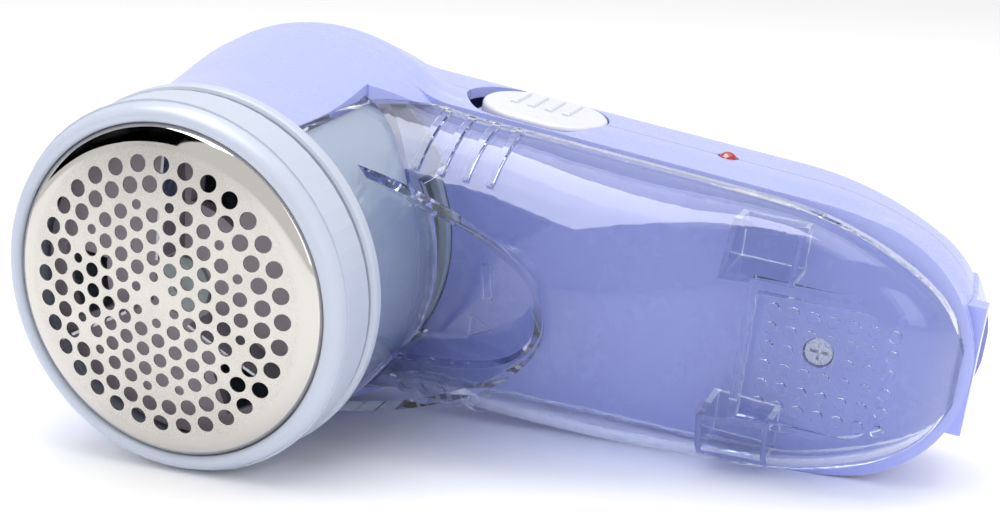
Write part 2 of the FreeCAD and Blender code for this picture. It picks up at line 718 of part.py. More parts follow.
def head_collar():
    """Pale collar: band behind the ring and the nose that the ring screws on."""
    band = turned([(NOSE_BORE_R, FOIL_FLANGE_Y + FOIL_THICK), (NOSE_R, FOIL_FLANGE_Y + FOIL_THICK),
                   (NOSE_R, COLLAR_FRONT_Y), (33.1, COLLAR_FRONT_Y), (33.6, 15.2), (COLLAR_R, 15.9),
                   (COLLAR_R, HEAD_FRONT_Y - 0.05), (NOSE_BORE_R, HEAD_FRONT_Y - 0.05)])
    # ridges lie in front of the ring's lugs on the same helix
    back = RIDGE_TURN - LUG_TURN
    y = LUG_Y - LUG_HEIGHT - LUG_GAP - THREAD_LEAD * back / 360.0
    ridges = [helix_bar(NOSE_R - 0.2, RING_BORE_R - 0.3, LUG_HEIGHT, y, RIDGE_TURN, 120.0 * k - back)
              for k in range(3)]
    return band.fuse(ridges)


def plate_holes():
    """Holes that chamber floor and motor plate share: place and radius."""
    motor = [(side * MOTOR_SCREW_X, 0.0, 1.15) for side in (-1, 1)]
    return motor + [(x, z, SCREW_R + 0.15) for x, z in chamber_screw_places()]


def head_chamber():
    """Grey cup behind the cutter that catches the lint, open towards the bin."""
    floor_y = CHAMBER_BACK_Y - CHAMBER_FLOOR
    cup = turned([(CHAMBER_BORE_R, HEAD_FRONT_Y), (CHAMBER_R, HEAD_FRONT_Y), (CHAMBER_R, CHAMBER_BACK_Y),
                  (3.0, CHAMBER_BACK_Y), (3.0, floor_y), (CHAMBER_BORE_R, floor_y)])
    cup = cup.cut(box(20, 40, WINDOW_Y[0], WINDOW_Y[1], -WINDOW_HALF, WINDOW_HALF))
    for x, z, r in plate_holes():
        cup = cup.cut(cyl(r, floor_y - 1, CHAMBER_BACK_Y + 1, x, z))
    return cup


# ------------------------------------------------------------------ motor and drive

def motor_plate():
    """Steel plate under the chamber that carries the motor."""
    plate = tube(PLATE_R, 4.0, PLATE_Y[0], PLATE_Y[1])
    for x, z, r in plate_holes():
        plate = plate.cut(cyl(r, PLATE_Y[0] - 1, PLATE_Y[1] + 1, x, z))
    for cut in around(box(15, 24, PLATE_Y[0] - 1, PLATE_Y[1] + 1, -5, 5), 6, 30):
        plate = plate.cut(cut)
    return plate


def motor_screws():
    """Two screws through chamber floor and plate into the motor's front wall."""
    floor_y = CHAMBER_BACK_Y - CHAMBER_FLOOR
    return [cross_screw(1.9, 1.0, floor_y - 1.3, floor_y - 0.02, CAN_Y[0] + 1.6, side * MOTOR_SCREW_X, 0)
            for side in (-1, 1)]


def shaft_seal():
    """Felt ring that keeps lint off the front bush."""
    return tube(2.95, SHAFT_R + 0.09, CHAMBER_BACK_Y - CHAMBER_FLOOR, CHAMBER_BACK_Y - 0.1)


def motor_can():
    """Drawn steel can with the front bush pocket."""
    y0, y1 = CAN_Y
    t = CAN_THICK
    can = turned([(3.0, 55.65), (3.8, 55.65), (3.8, y0), (MOTOR_R, y0), (MOTOR_R, y1), (MOTOR_R - t, y1),
                  (MOTOR_R - t, y0 + t), (3.8, y0 + t), (3.8, y0 + 3.0), (3.0, y0 + 3.0)])
    for side in (-1, 1):
        can = can.cut(cyl(1.02, y0 - 1, y0 + 3, side * MOTOR_SCREW_X, 0))
    for cut in around(box(9, 14, CAN_Y[1] - 2.2, CAN_Y[1] + 1, -1.5, 1.5), 2, 45):
        can = can.cut(cut)
    return can


def motor_end_cap():
    """Moulded rear cap with the rear bush pocket and slots for the terminals."""
    y0, y1 = CAP_Y
    lip_r = MOTOR_R - CAN_THICK - 0.03
    cap = turned([(3.0, y0), (10.0, y0), (10.0, y0 - 1.6), (lip_r, y0 - 1.6), (lip_r, y0),
                  (MOTOR_R, y0), (MOTOR_R, y1), (4.3, y1), (4.3, y1 + 2.4), (3.0, y1 + 2.4)])
    for side in (-1, 1):
        cap = cap.cut(box(-1.6, 1.6, y0 - 1, y1 + 1, side * 7.0 - 0.25, side * 7.0 + 0.25))
    return cap


def motor_bushes():
    """Bronze bushes at both ends of the motor."""
    return [tube(BUSH_R, SHAFT_R + RUN, 55.75, 59.9), tube(BUSH_R, SHAFT_R + RUN, 74.1, 77.3)]


def sector(r_in, r_out, y0, y1, half_angle, centre):
    """Piece of a ring, half_angle degrees to each side of the centre direction."""
    ring = Part.makeCylinder(r_out, y1 - y0, Vec(0, y0, 0), AXIS_Y, 2 * half_angle)
    ring = ring.cut(cyl(r_in, y0 - 1, y1 + 1))
    return spun(ring, centre + 90.0 - half_angle)


def motor_magnets():
    """Two ferrite arcs against the can."""
    y0, y1 = MAGNET_Y
    return [sector(9.3, MOTOR_R - CAN_THICK - 0.02, y0, y1, 62.0, turn) for turn in (90.0, 270.0)]


def armature_core():
    """Three-pole laminated core."""
    y0, y1 = CORE_Y
    core = cyl(3.0, y0, y1)
    for k in range(3):
        core = core.fuse(spun(box(2.0, 8.0, y0, y1, -1.5, 1.5), 120.0 * k))
        core = core.fuse(spun(sector(7.4, CORE_R, y0, y1, 50.0, 0.0), 120.0 * k))
    return core.cut(cyl(SHAFT_R + 0.01, y0 - 1, y1 + 1))


def armature_windings():
    """Three copper coils, one on each pole."""
    y0, y1 = CORE_Y
    coils = []
    for k in range(3):
        coil = box(4.0, 7.2, y0 - 1.3, y1 + 1.3, -3.1, 3.1)
        coil = coil.cut(box(2.0, 9.0, y0 - 0.05, y1 + 0.05, -1.55, 1.55))
        coil = coil.common(cyl(7.3, y0 - 3, y1 + 3)).cut(cyl(3.9, y0 - 3, y1 + 3))
        for turn in (-60.0, 60.0):
            coil = coil.cut(spun(box(0, 9, y0 - 3, y1 + 3, -0.3, 0.3), turn))
        coils.append(spun(coil, 120.0 * k))
    return coils


def commutator():
    """Three copper segments side by side round the shaft."""
    y0 = CORE_Y[1] + 1.5
    ring = tube(COMMUTATOR_R, SHAFT_R + 0.02, y0, y0 + 2.8)
    segments = []
    for k in range(3):
        wedge = sector(0.2, 5.0, y0 - 1, y0 + 4, 57.0, 120.0 * k)
        segments.append(ring.common(wedge))
    return segments


def motor_brushes():
    """Carbon blocks that press on the commutator, each on its spring leaf."""
    brushes = []
    y0 = CORE_Y[1] + 1.8
    for side in (-1, 1):
        z0, z1 = sorted((side * (COMMUTATOR_R + RUN), side * 4.8))
        block = box(-1.0, 1.0, y0, y0 + 1.8, z0, z1)
        z0, z1 = sorted((side * 4.7, side * 5.0))
        leaf = box(-0.8, 0.8, y0, CAP_Y[0] - 0.02, z0, z1)
        brushes.append(block.fuse(leaf))
    return brushes


def motor_terminals():
    """Two brass tabs through the rear cap."""
    tabs = []
    for side in (-1, 1):
        tab = box(-1.4, 1.4, CAP_Y[0] - 1.4, CAP_Y[1] + 3.0, side * 7.0 - 0.2, side * 7.0 + 0.2)
        tabs.append(tab.cut(rod_z(0.6, -12, 12, 0, CAP_Y[1] + 1.8)))
    return tabs


def motor_shaft():
    """Long steel shaft from the rear bush to the cutter."""
    y0, y1 = SHAFT_Y
    return turned([(0.0, y0), (SHAFT_R - 0.25, y0), (SHAFT_R, y0 + 0.3), (SHAFT_R, y1 - 0.3),
                   (SHAFT_R - 0.25, y1), (0.0, y1)])


def hexagon(radius, y0, y1):
    return polygon_prism(radius, 6, y0, y1)


def drive_hub():
    """Hub pressed on the shaft: hexagon for the cutter, flange, long boss for the fan."""
    y0, y1 = HUB_Y
    hub = hexagon(HUB_HEX_R, y0, HUB_FLANGE_Y)
    hub = hub.fuse(cyl(7.2, HUB_FLANGE_Y, HUB_FLANGE_Y + 1.6))
    hub = hub.fuse(turned([(0, HUB_FLANGE_Y), (4.6, HUB_FLANGE_Y), (5.4, 38.0), (5.4, y1), (0, y1)]))
    return hub.cut(cyl(SHAFT_R + 0.01, y0 - 1, y1 + 1))


def hub_cap():
    """Snap cap on the hub's front that keeps the cutter on."""
    cap = turned([(0.0, 8.0), (HUB_CAP_R - 1.0, 8.0), (HUB_CAP_R, 8.6), (HUB_CAP_R, 9.75), (0.0, 9.75)])
    return cap.cut(cyl(1.4, 7.5, 8.7))


def fan_impeller():
    """Fan behind the cutter that throws the lint into the bin."""
    y0, y1 = FAN_Y
    fan = turned([(5.42, y0), (7.0, y0), (7.0, y1 - 1.2), (FAN_R, y1 - 1.2), (FAN_R, y1), (5.42, y1)])
    vane = box(6.6, FAN_R - 0.5, y0 + 1.0, y1 - 1.0, -0.6, 0.6)
    tilted = vane.copy()
    tilted.rotate(Vec(6.6, 0, 0), AXIS_Y, 18)
    return fan.fuse(around(tilted, 8)).removeSplitter()


# ------------------------------------------------------------------ cutter

def blade_spring():
    """Coil spring that presses the cutter against the foil."""
    length = HUB_FLANGE_Y - CARRIER_BOSS_Y - 2 * SPRING_WIRE - 0.1
    steps = 24 * SPRING_TURNS
    points = []
    for i in range(steps + 1):
        turn = 2 * math.pi * SPRING_TURNS * i / steps
        y = CARRIER_BOSS_Y + SPRING_WIRE + 0.05 + length * i / steps
        points.append(Vec(SPRING_R * math.cos(turn), y, SPRING_R * math.sin(turn)))
    path = Part.BSplineCurve()
    path.interpolate(points)
    section = Part.Wire(Part.Circle(points[0], path.tangent(0)[0], SPRING_WIRE).toShape())
    return Part.Wire(path.toShape()).makePipeShell([section], True, True)


def blade_slot(grow):
    """Upright plate of one blade before its edge is shaped, along x."""
    half = BLADE_THICK / 2 + grow
    return box(BLADE_R[0] - grow, BLADE_R[1] + grow, -1.0, BLADE_FOOT_Y + grow, -half, half)


def blade_carrier():
    """Wheel with three windows that slides on the hub's hexagon and holds the blades."""
    y0, y1 = CARRIER_Y
    skirt = tube(CARRIER_R, CARRIER_R - 1.8, y0, CARRIER_SKIRT_Y)
    holders = around(box(5.5, CARRIER_R - 0.6, y0, CARRIER_SKIRT_Y, -1.6, 1.6), CUTTERS, BLADE_TURN)
    paddles = around(box(7.0, CARRIER_R - 3.5, y0 + 1.0, CARRIER_BOSS_Y - 1.2, -0.5, 0.5), CUTTERS,
                     BLADE_TURN + 60.0)
    wheel = fuse([cyl(CARRIER_R, y0, y1), cyl(7.4, y0, CARRIER_BOSS_Y), skirt] + holders + paddles)
    window = sector(WINDOW_R[0], WINDOW_R[1], y0 - 1, CARRIER_BOSS_Y, WINDOW_SPAN / 2, WINDOW_TURN)
    wheel = wheel.cut(around(window, CUTTERS, BLADE_TURN))
    wheel = wheel.cut(hexagon(HUB_HEX_R + 0.08, y0 - 1, CARRIER_BOSS_Y + 1))
    wheel = wheel.cut(cyl(HUB_CAP_R + 0.4, y0 - 1, CARRIER_SEAT_Y))
    return wheel.cut(around(blade_slot(0.02), CUTTERS, BLADE_TURN))


def cutting_blades():
    """Three upright steel blades whose edges follow the foil."""
    gap = FOIL_THICK + BLADE_GAP
    points = []
    steps = 6
    for i in range(steps + 1):
        r = BLADE_R[0] + (BLADE_R[1] - BLADE_R[0]) * i / steps
        points.append(Vec(r, foil_y(r) + gap, 0))
    edge = Part.BSplineCurve()
    edge.interpolate(points)
    foot = [points[-1], Vec(BLADE_R[1], BLADE_FOOT_Y, 0), Vec(BLADE_R[0], BLADE_FOOT_Y, 0), points[0]]
    lines = [Part.makeLine(p, q) for p, q in zip(foot, foot[1:])]
    plate = Part.Face(Part.Wire([edge.toShape()] + lines)).extrude(Vec(0, 0, BLADE_THICK))
    plate.translate(Vec(0, 0, -BLADE_THICK / 2))
    return around(plate, CUTTERS, BLADE_TURN)


# ------------------------------------------------------------------ charging and power

def circuit_board():
    """Charger board behind the deck."""
    board = box(BOARD_X[0], BOARD_X[1], BOARD_Y[0], BOARD_Y[1], -BOARD_HALF, BOARD_HALF)
    return board.cut(cyl(1.3, 50, 70, BOARD_X[0] + 3, 15)).cut(cyl(1.3, 50, 70, BOARD_X[1] - 3, -15))


def leaded(radius, length, x, z):
    """Axial component that lies on the board with both leads bent down."""
    y = BOARD_Y[1] + radius + 0.25
    body = rod_x(radius, x - length / 2, x + length / 2, y, z)
    reach = length / 2 + 1.8
    wire = rod_x(0.3, x - reach, x + reach, y, z)
    legs = [cyl(0.3, BOARD_Y[1], y + 0.3, x + side * reach, z) for side in (-1, 1)]
    return body.fuse([wire] + legs)


def board_diodes():
    return [leaded(1.2, 4.6, x, z) for x in (70.0, 80.5) for z in (11.5, 15.5)]


def board_resistors():
    return [leaded(1.1, 6.2, x, z) for x, z in ((71.0, -11.5), (71.0, -15.5), (83.5, -13.5))]


def dropper_capacitor():
    """Block capacitor that stands between the two cells."""
    return box(66.5, 84.5, BOARD_Y[1], BOARD_Y[1] + 11.0, -3.0, 3.0)


def charge_led():
    """Red lamp with its flange and domed tip."""
    base = SIDE_HALF - 2.9
    lamp = rod_z(LED_R, base - 3.0, base, LED_X, SEAM_Y)
    dome = Part.makeSphere(LED_R, Vec(LED_X, SEAM_Y, base))
    flange = rod_z(2.3, base - 3.0, base - 2.2, LED_X, SEAM_Y)
    return fuse([lamp, dome, flange])


def led_leads():
    """Two stiff leads from the board up to the lamp."""
    leads = []
    base = SIDE_HALF - 5.9
    for side in (-1, 1):
        x = LED_X + side * 1.1
        leads.append(fuse([cyl(0.3, BOARD_Y[1], SEAM_Y + 0.3, x, 18.2), rod_z(0.3, 18.2, base, x, SEAM_Y)]))
    return leads


def battery_cell(side):
    """Rechargeable cell along the handle; the two cells lie head to tail."""
    x0, x1 = CELL_X
    z = side * CELL_Z
    if side > 0:
        return fuse([rod_x(CELL_R, x0, x1, CELL_Y, z), rod_x(2.6, x1, x1 + CELL_NUB, CELL_Y, z)])
    return fuse([rod_x(CELL_R, x0 + CELL_NUB, x1 + CELL_NUB, CELL_Y, z), rod_x(2.6, x0, x0 + 2, CELL_Y, z)])


def battery_straps():
    """Nickel strips: one joins the cells, two go out to the board and the inlet."""
    x0 = CELL_X[0] - 0.02
    x1 = CELL_X[1] + CELL_NUB + 0.02
    joined = box(x0 - 0.25, x0, CELL_Y - 2, CELL_Y + 2, -CELL_Z - 2, CELL_Z + 2)
    tabs = [box(x1, x1 + 0.25, CELL_Y - 2, CELL_Y + 2, side * CELL_Z - 3, side * CELL_Z + 3)
            for side in (-1, 1)]
    return [joined] + tabs


def inlet_bezel():
    """Raised frame round the charging inlet in the handle's end."""
    x0, x1 = BEZEL_X
    y0 = INLET_Y[0] + 0.1
    y1 = INLET_Y[1] - 0.1
    half = INLET_HALF_Z - 0.1
    wide = box(x0, x1, y0, BEZEL_LIP_Y, -half, half)
    # behind the lip the frame follows the rounded end of the handle
    rest = box(x0, x1, y0, y1, -half, half).common(body_form(-BEZEL_PROUD, BODY_BACK))
    hole = box(x0 - 1, x1 + 1, HOLE_Y[0], HOLE_Y[1], HOLE_Z[0], HOLE_Z[1])
    return wide.fuse(rest).removeSplitter().cut(hole)


def inlet_housing():
    """Dark socket behind the frame with a deep recess for the plug."""
    x0 = BEZEL_X[0] - 2.3
    x1 = BEZEL_X[0] - 0.02
    flange = box(x0, x1, INLET_Y[0] + 0.6, INLET_Y[1] - 0.6, -11.4, 11.4)
    y0, y1 = HOLE_Y
    z0, z1 = HOLE_Z
    sleeve = box(x0, BEZEL_X[1] - 2.0, y0 + 0.05, y1 - 0.05, z0 + 0.05, z1 - 0.05)
    recess = box(x0 + 1.6, BEZEL_X[1] + 1, y0 + 1.1, y1 - 1.1, z0 + 1.1, z1 - 1.1)
    socket = flange.fuse(sleeve).cut(recess)
    for pin in inlet_pins(0.02):
        socket = socket.cut(pin)
    return socket


def inlet_pins(grow=0.0):
    """Two round pins in the socket."""
    y = (HOLE_Y[0] + HOLE_Y[1]) / 2
    return [rod_x(1.15 + grow, BEZEL_X[0] - 3.4 - grow, BEZEL_X[1] - 4.5, y, side * 4.3 + 0.25)
            for side in (-1, 1)]


# ------------------------------------------------------------------ switch

def button_tilt(shape):
    """Lay a switch shape parallel with the tapered side of the handle."""
    copy = shape.copy()
    copy.rotate(Vec(SWITCH_X, SEAM_Y, SIDE_HALF), AXIS_Y, SIDE_TAPER)
    return copy


def button_x():
    return SWITCH_X + (SLOT_LENGTH - BUTTON_LENGTH) / 2 - 0.2


def switch_button():
    """White oval thumb slide, flush with the wall, with four short cross ribs."""
    x = button_x()
    z0 = SLOT_INNER_Z + 0.9
    z1 = SIDE_HALF - 0.05
    body = slot_z(BUTTON_LENGTH, BUTTON_WIDTH, z0, z1, x, SEAM_Y)
    crown = rod_z(60.0, z0 - 1, z1 + 1, x, SEAM_Y)
    body = body.common(crown)
    edges = [e for e in body.Edges if e.BoundBox.ZMin > z1 - 0.01]
    body = body.makeFillet(0.9, edges)
    ribs = []
    for k in range(4):
        rx = x - 6.0 + BUTTON_RIB_PITCH * k
        bar = box(rx - 0.7, rx + 0.7, SEAM_Y - 1.5, SEAM_Y + 6.5, z1 - 0.3, z1 + 0.6)
        edges = [e for e in bar.Edges if e.BoundBox.ZMin > z1 + 0.5]
        ribs.append(bar.makeFillet(0.5, edges))
    return body.fuse(ribs)


def switch_slider():
    """Flanged slider behind the wall, with the peg that moves the contact."""
    x = button_x()
    z1 = SLOT_INNER_Z + 0.86
    stem = slot_z(BUTTON_LENGTH - 6, BUTTON_WIDTH - 6, SLOT_INNER_Z - 0.3, z1, x, SEAM_Y)
    flange = box(x - 14.0, x + 14.0, SEAM_Y - 8.0, SEAM_Y + 8.0, SLOT_INNER_Z - 1.0, SLOT_INNER_Z - 0.2)
    peg = box(x - 1.5, x + 1.5, SEAM_Y - 2.0, SEAM_Y + 2.0, SLOT_INNER_Z - 3.6, SLOT_INNER_Z - 0.9)
    return fuse([stem, flange, peg])


def switch_body():
    """Slide switch block with the slot for the peg."""
    z0, z1 = SWITCH_BODY_Z
    block = box(SWITCH_X - 8.6, SWITCH_X + 8.6, SEAM_Y - 5.0, SEAM_Y + 5.0, z0, z1)
    x = button_x()
    return block.cut(box(x - SWITCH_TRAVEL - 2.0, x + 2.0, SEAM_Y - 2.3, SEAM_Y + 2.3, z1 - 2.4, z1 + 1))


def switch_terminals():
    """Three tinned tabs under the switch."""
    return [box(SWITCH_X + d - 0.9, SWITCH_X + d + 0.9, SEAM_Y - 0.3, SEAM_Y + 0.3, SWITCH_BODY_Z[0] - 3.4,
                SWITCH_BODY_Z[0]) for d in (-5.0, 0.0, 5.0)]


def bent_wire(points, radius=0.55):
    """Insulated wire through the given points."""
    pieces = []
    for p, q in zip(points, points[1:]):
        a = Vec(*p)
        b = Vec(*q)
        pieces.append(Part.makeCylinder(radius, (b - a).Length, a, b - a))
    balls = [Part.makeSphere(radius, Vec(*p)) for p in points[1:-1]]
    return fuse(pieces + balls)


def leads():
    """Wires between inlet, board, cells, switch and motor."""
    return [bent_wire([(0.0, 78.6, 8.0), (10.0, 78.6, 9.5), (20.0, 76.0, 8.0), (32.0, 70.0, 8.6),
                       (35.8, 65.5, 9.2)]),
            bent_wire([(0.0, 78.6, -8.0), (12.0, 78.6, -9.5), (30.0, 74.0, -9.0), (46.0, 66.0, -9.0),
                       (60.0, 61.0, -8.0), (63.4, 61.0, -8.0)]),
            bent_wire([(41.0, 65.5, 9.2), (46.0, 62.4, 8.8), (57.0, 61.2, 9.0), (63.4, 61.0, 9.0)]),
            bent_wire([(115.0, 67.0, -4.05), (111.0, 62.0, -6.0), (103.0, 61.6, -8.0), (96.5, 60.9, -8.0)]),
            bent_wire([(115.0, 67.0, 4.55), (111.0, 62.0, 6.0), (103.0, 61.6, 8.0), (96.5, 60.9, 8.0)])]


def main():
    os.makedirs("parts", exist_ok=True)
    nodes = (front_housing, back_housing, housing_screws, lint_bin, foil, foil_ring, head_collar,
             head_chamber, motor_plate, motor_screws, shaft_seal, motor_can, motor_end_cap,
             motor_bushes, motor_magnets, armature_core, armature_windings, commutator,
             motor_brushes, motor_terminals, motor_shaft, drive_hub, hub_cap, fan_impeller,
             blade_spring, blade_carrier, cutting_blades, circuit_board, board_diodes,
             board_resistors, dropper_capacitor, charge_led, led_leads, battery_straps,
             inlet_bezel, inlet_housing, inlet_pins, switch_body, switch_terminals, leads)
    for node in nodes:
        export(node.__name__, node())
    export("battery_cell_1", battery_cell(1))
    export("battery_cell_2", battery_cell(-1))
    export("switch_button", button_tilt(switch_button()))
    export("switch_slider", button_tilt(switch_slider()))


main()
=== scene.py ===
import json
import math

import bpy
from mathutils import Matrix, Vector


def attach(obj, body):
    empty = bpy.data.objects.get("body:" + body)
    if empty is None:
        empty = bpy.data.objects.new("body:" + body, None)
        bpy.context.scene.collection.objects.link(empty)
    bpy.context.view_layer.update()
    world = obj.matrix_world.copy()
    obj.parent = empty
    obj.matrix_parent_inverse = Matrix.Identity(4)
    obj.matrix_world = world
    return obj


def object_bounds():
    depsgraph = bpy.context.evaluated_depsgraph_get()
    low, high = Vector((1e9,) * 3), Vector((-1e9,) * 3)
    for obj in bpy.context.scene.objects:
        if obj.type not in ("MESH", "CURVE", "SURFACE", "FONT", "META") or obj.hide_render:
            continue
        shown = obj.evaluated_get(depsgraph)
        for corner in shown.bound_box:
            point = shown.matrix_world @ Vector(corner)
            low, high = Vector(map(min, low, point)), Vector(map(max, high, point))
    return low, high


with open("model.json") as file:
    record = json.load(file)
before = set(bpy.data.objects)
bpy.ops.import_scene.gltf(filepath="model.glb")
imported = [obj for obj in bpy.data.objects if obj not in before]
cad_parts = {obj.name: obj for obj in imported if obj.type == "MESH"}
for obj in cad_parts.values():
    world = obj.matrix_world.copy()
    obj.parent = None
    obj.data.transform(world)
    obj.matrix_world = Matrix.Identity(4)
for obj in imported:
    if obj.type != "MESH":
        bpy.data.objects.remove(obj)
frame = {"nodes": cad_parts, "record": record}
cad_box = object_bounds()

MM = 0.001
NODES = frame["nodes"]
RECORD = frame["record"]
JOINTS = {joint["name"]: joint for joint in RECORD["behaviour"]["joints"]}

# The shaver's own directions: x from the head to the handle's end, y from the foil to the
# back, z towards the switch. The origin is the tip of the foil.
AXIS_Y = Vector(JOINTS["rotor_spin"]["axis"]).normalized()
AXIS_X = Vector(JOINTS["bin_slide"]["axis"]).normalized()
AXIS_Z = AXIS_X.cross(AXIS_Y)


def place(x, y, z):
    """Point in the scene from millimetres in the shaver's own directions."""
    return (AXIS_X * x + AXIS_Y * y + AXIS_Z * z) * MM


# ---------------------------------------------------------------- shader helpers


def start(name):
    """New material holding a Principled shader on its output."""
    material = bpy.data.materials.new(name)
    material.use_nodes = True
    tree = material.node_tree
    tree.nodes.clear()
    shader = tree.nodes.new("ShaderNodeBsdfPrincipled")
    output = tree.nodes.new("ShaderNodeOutputMaterial")
    tree.links.new(shader.outputs[0], output.inputs["Surface"])
    return material, tree, shader


def feed(tree, socket, value):
    """Gives a socket a value, or joins another socket to it."""
    if isinstance(value, bpy.types.NodeSocket):
        tree.links.new(value, socket)
    else:
        socket.default_value = value


def add(tree, kind, inputs=None, **settings):
    """New shader node with its settings and inputs; inputs go by name or number."""
    made = tree.nodes.new("ShaderNode" + kind)
    for key, value in settings.items():
        setattr(made, key, value)
    for key, value in (inputs or {}).items():
        feed(tree, made.inputs[key], value)
    return made


def maths(tree, operation, *values):
    """Result of one sum on numbers or sockets."""
    return add(tree, "Math", dict(enumerate(values)), operation=operation).outputs[0]


def ramp(tree, value, low, high, to_low, to_high, smooth=False):
    """Maps low..high to to_low..to_high, held at both ends."""
    kind = "SMOOTHSTEP" if smooth else "LINEAR"
    inputs = {0: value, 1: low, 2: high, 3: to_low, 4: to_high}
    return add(tree, "MapRange", inputs, interpolation_type=kind).outputs[0]


def blend(tree, factor, first, second):
    """Colour between two colours."""
    made = add(tree, "Mix", data_type="RGBA")
    feed(tree, made.inputs[0], factor)
    feed(tree, made.inputs[6], first)
    feed(tree, made.inputs[7], second)
    return made.outputs[2]


def noise(tree, scale, detail=3.0, roughness=0.5, stretch=(1.0, 1.0, 1.0)):
    """Noise over the piece's own space, scale in cells a metre."""
    where = add(tree, "TexCoord").outputs["Object"]
    if stretch != (1.0, 1.0, 1.0):
        where = add(tree, "Mapping", {"Vector": where, "Scale": stretch}).outputs[0]
    inputs = {"Vector": where, "Scale": scale, "Detail": detail, "Roughness": roughness}
    return add(tree, "TexNoise", inputs).outputs[0]


def along(tree, axis):
    """Distance in metres along one of the shaver's directions."""
    where = add(tree, "TexCoord").outputs["Object"]
    inputs = {0: where, 1: tuple(axis)}
    return add(tree, "VectorMath", inputs, operation="DOT_PRODUCT").outputs["Value"]


def radius(tree):
    """Distance in metres from the head axis."""
    across = [along(tree, AXIS_X), along(tree, AXIS_Z)]
    squares = [maths(tree, "MULTIPLY", value, value) for value in across]
    return maths(tree, "SQRT", maths(tree, "ADD", *squares))


def bump(tree, shader, height, distance):
    """Fine relief on a shader, distance in metres for a height of one."""
    made = add(tree, "Bump", {"Height": height, "Distance": distance})
    tree.links.new(made.outputs[0], shader.inputs["Normal"])


def srgb(red, green, blue):
    """Linear colour from display values of 0 to 255."""
    values = [channel / 255 for channel in (red, green, blue)]
    return (*[v / 12.92 if v <= 0.04045 else ((v + 0.055) / 1.055) ** 2.4 for v in values], 1.0)


def scaled(colour, share):
    """Colour darkened to a share of itself."""
    return (*[channel * share for channel in colour[:3]], 1.0)


# ---------------------------------------------------------------- materials


SEAM_Y = 65.5              # the two lilac shells meet at this level
FACE_R = 25.6              # satin face of the foil ends here
RIM_R = 27.0               # polished rim of the foil starts here
TRAPPED_DEPTH = 12.5       # light caught inside a clear wall leaves it after this many turns
RUB_COLOUR = (0.9, 0.9, 0.93, 1.0)


def moulded(name, colour, roughness=0.3, grain=0.02, soft=0.0, coat=0.0, seam=None, dark=0.95):
    """Injection-moulded plastic: faint flow shades, fine mould grain, light handling marks.

    grain is the relief in millimetres, soft the share of light that passes under the skin, seam
    the level of a parting line in millimetres, and dark the shade of the flow marks.
    """
    material, tree, shader = start(name)
    shade = blend(tree, ramp(tree, noise(tree, 28.0), 0.35, 0.65, 0.0, 1.0),
                  scaled(colour, dark), colour)
    marks = ramp(tree, noise(tree, 160.0, 4.0, 0.6, (1.0, 0.25, 3.0)), 0.62, 0.8, 0.0, 0.03)
    shade = blend(tree, marks, shade, RUB_COLOUR)
    height = noise(tree, 2600.0, 2.0)
    if seam is not None:
        off = maths(tree, "ABSOLUTE", maths(tree, "SUBTRACT", along(tree, AXIS_Y), seam * MM))
        line = ramp(tree, off, 0.08 * MM, 0.3 * MM, 1.0, 0.0, True)
        shade = blend(tree, maths(tree, "MULTIPLY", line, 0.55), shade, scaled(colour, 0.35))
        height = maths(tree, "SUBTRACT", height, maths(tree, "MULTIPLY", line, 8.0))
    feed(tree, shader.inputs["Base Color"], shade)
    wear = ramp(tree, noise(tree, 90.0, 5.0, 0.65), 0.35, 0.7, roughness * 0.85, roughness * 1.2)
    feed(tree, shader.inputs["Roughness"], wear)
    bump(tree, shader, height, grain * MM)
    shader.inputs["IOR"].default_value = 1.5
    shader.inputs["Coat Weight"].default_value = coat
    shader.inputs["Coat Roughness"].default_value = 0.08
    if soft:
        shader.inputs["Subsurface Weight"].default_value = soft
        shader.inputs["Subsurface Radius"].default_value = (1.0, 1.0, 1.4)
        shader.inputs["Subsurface Scale"].default_value = 1.5 * MM
    return material


def metal(name, colour, roughness=0.25, brush=(1.0, 1.0, 1.0), scale=900.0, depth=0.004, spots=0.1):
    """Bare metal with a drawn or ground finish and faint spots."""
    material, tree, shader = start(name)
    stain = ramp(tree, noise(tree, 240.0, 4.0, 0.6), 0.5, 0.75, 0.0, spots)
    feed(tree, shader.inputs["Base Color"], blend(tree, stain, colour, scaled(colour, 0.45)))
    shader.inputs["Metallic"].default_value = 1.0
    lines = noise(tree, scale, 4.0, 0.6, brush)
    wear = ramp(tree, lines, 0.3, 0.7, roughness * 0.75, roughness * 1.3)
    feed(tree, shader.inputs["Roughness"], wear)
    bump(tree, shader, lines, depth * MM)
    return material


def foil_metal():
    """Pressed foil: polished turned rim, satin perforated face."""
    material, tree, shader = start("foil_steel")
    out = radius(tree)
    face = ramp(tree, out, FACE_R * MM, RIM_R * MM, 1.0, 0.0, True)
    smudge = ramp(tree, noise(tree, 120.0, 5.0, 0.65), 0.42, 0.7, 0.0, 0.25)
    smudge = maths(tree, "MULTIPLY", smudge, face)
    colour = blend(tree, smudge, srgb(208, 204, 199), srgb(172, 168, 163))
    feed(tree, shader.inputs["Base Color"], colour)
    shader.inputs["Metallic"].default_value = 1.0
    fine = noise(tree, 2200.0, 3.0)
    rough = ramp(tree, fine, 0.3, 0.7, 0.2, 0.34)
    polish = ramp(tree, noise(tree, 300.0, 4.0), 0.4, 0.7, 0.03, 0.08)
    mixed = add(tree, "Mix", {0: face, 2: polish, 3: rough}, data_type="FLOAT").outputs[0]
    feed(tree, shader.inputs["Roughness"], mixed)
    height = maths(tree, "MULTIPLY", fine, maths(tree, "ADD", face, 0.05))
    bump(tree, shader, height, 0.006 * MM)
    return material


